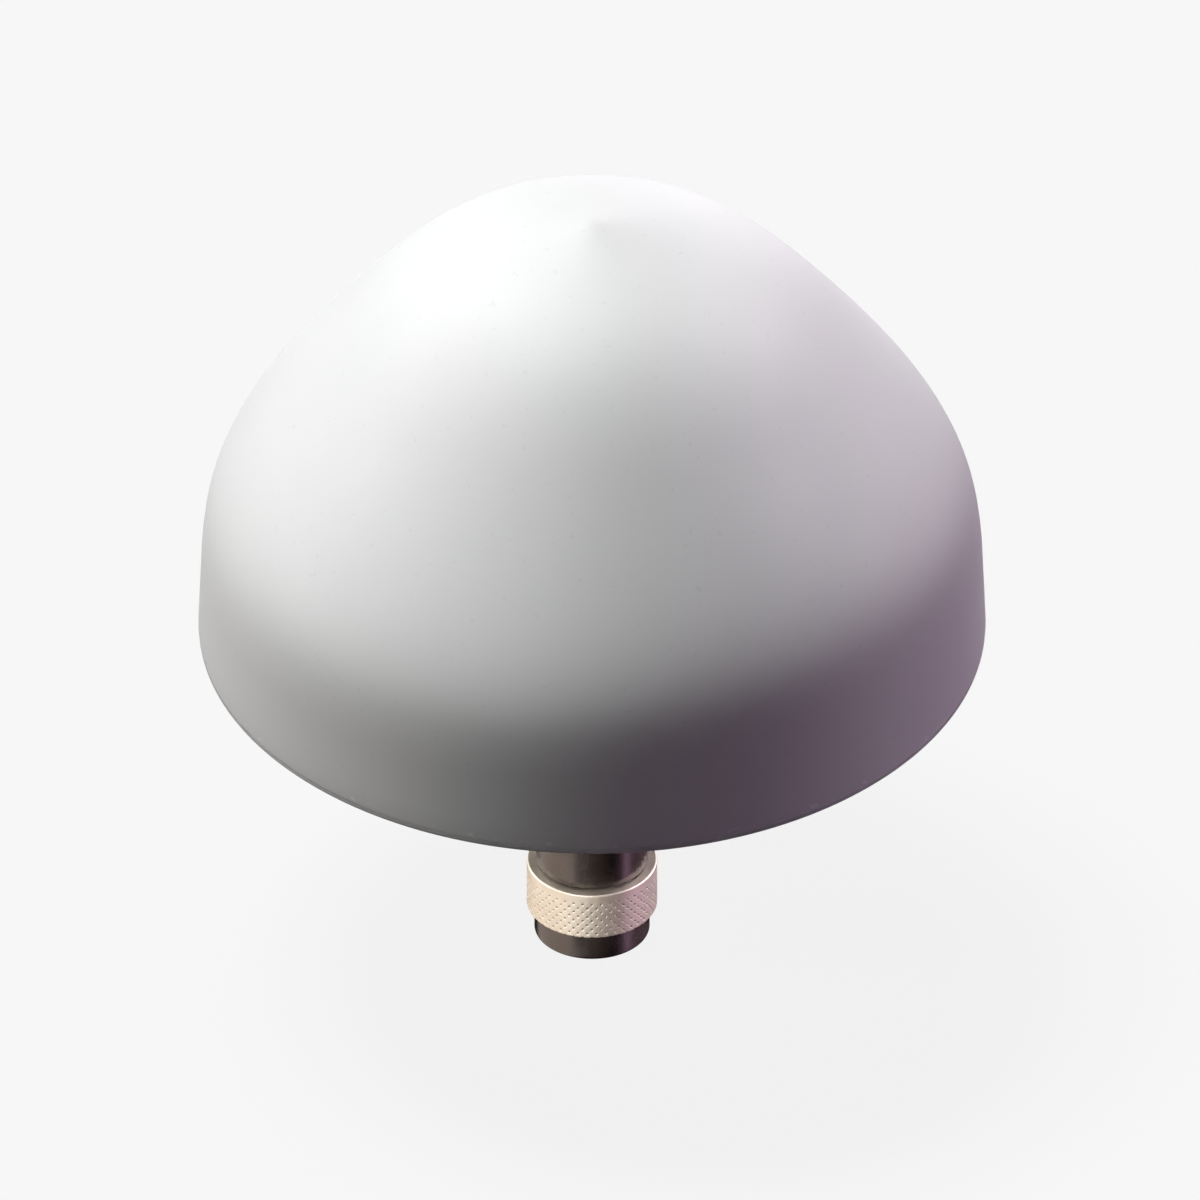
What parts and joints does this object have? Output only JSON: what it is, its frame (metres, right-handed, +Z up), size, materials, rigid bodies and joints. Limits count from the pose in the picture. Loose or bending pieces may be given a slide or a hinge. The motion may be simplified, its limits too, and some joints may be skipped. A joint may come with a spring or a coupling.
{
  "type": "gnss receiver",
  "caption": "Pole-mount satellite positioning receiver: white cone-topped radome on a pale grey base, slim black neck, knurled union nut and pole adapter.",
  "frame": {"origin": "centre of the pole adapter's bottom face, the antenna reference point that rests on the pole's shoulder", "axes": "+Z up along the pole and the radome's axis; +Y towards the data port under the base; +X completes a right-handed frame"},
  "size_m": [0.1598, 0.1598, 0.1752],
  "materials": {
    "white_plastic": "satin moulded",
    "grey_plastic": "satin moulded",
    "black_anodised": "black anodised, satin",
    "satin_brass": "pale satin, knurled",
    "black_plastic": "moulded",
    "rubber": "matt",
    "steel": "stainless, turned",
    "gold": "gold plated",
    "aluminium": "plain sheet",
    "green_board": "solder mask",
    "ceramic": "fired, matt",
    "cable_jacket": "fluoropolymer jacket"
  },
  "bodies": {
    "pole_adapter": {"pole_adapter": "black_anodised"},
    "head": {"base_plate": "grey_plastic", "connector_insert": "black_plastic", "connector_nut": "steel", "connector_pin_1": "gold", "connector_pin_2": "gold", "connector_pin_3": "gold", "connector_pin_4": "gold", "connector_pin_5": "gold", "connector_seal": "rubber", "connector_shell": "steel", "feed_pin_1": "gold", "feed_pin_2": "gold", "feed_pin_3": "gold", "feed_pin_4": "gold", "ground_plane": "aluminium", "harness": "black_plastic", "harness_header": "black_plastic", "lna_board": "green_board", "lna_shield": "aluminium", "lower_patch": "ceramic", "main_board": "green_board", "module_board": "green_board", "module_header_1": "black_plastic", "module_header_2": "black_plastic", "module_shield": "aluminium", "neck": "black_anodised", "neck_screw_1": "steel", "neck_screw_2": "steel", "neck_screw_3": "steel", "neck_screw_4": "steel", "neck_seal": "rubber", "patch_screw": "steel", "plane_screw_1": "steel", "plane_screw_2": "steel", "plane_screw_3": "steel", "plane_screw_4": "steel", "power_coil": "black_plastic", "radome": "white_plastic", "radome_screw_1": "steel", "radome_screw_2": "steel", "radome_screw_3": "steel", "radome_screw_4": "steel", "radome_screw_5": "steel", "radome_screw_6": "steel", "retaining_ring": "steel", "rf_cable": "cable_jacket", "rf_socket": "gold", "rim_seal": "rubber", "spacer_1": "steel", "spacer_2": "steel", "spacer_3": "steel", "spacer_4": "steel", "standoff_1": "steel", "standoff_2": "steel", "standoff_3": "steel", "standoff_4": "steel", "upper_patch": "ceramic", "vent_plug": "black_plastic"},
    "union_nut": {"union_nut": "satin_brass"}
  },
  "joints": [
    {"name": "head_lift", "type": "slide", "parent": "pole_adapter", "child": "head", "axis": [0, 0, 1], "range_m": [0, 0.00525]},
    {"name": "nut_turn", "type": "hinge", "parent": "head", "child": "union_nut", "pos_m": [0, 0, 0.0117], "axis": [0, 0, 1], "range_deg": [0, 1260]}
  ],
  "couplings": [
    {"joint": "nut_turn", "follows": "head_lift", "rad_per_m": 4188.8}
  ]
}
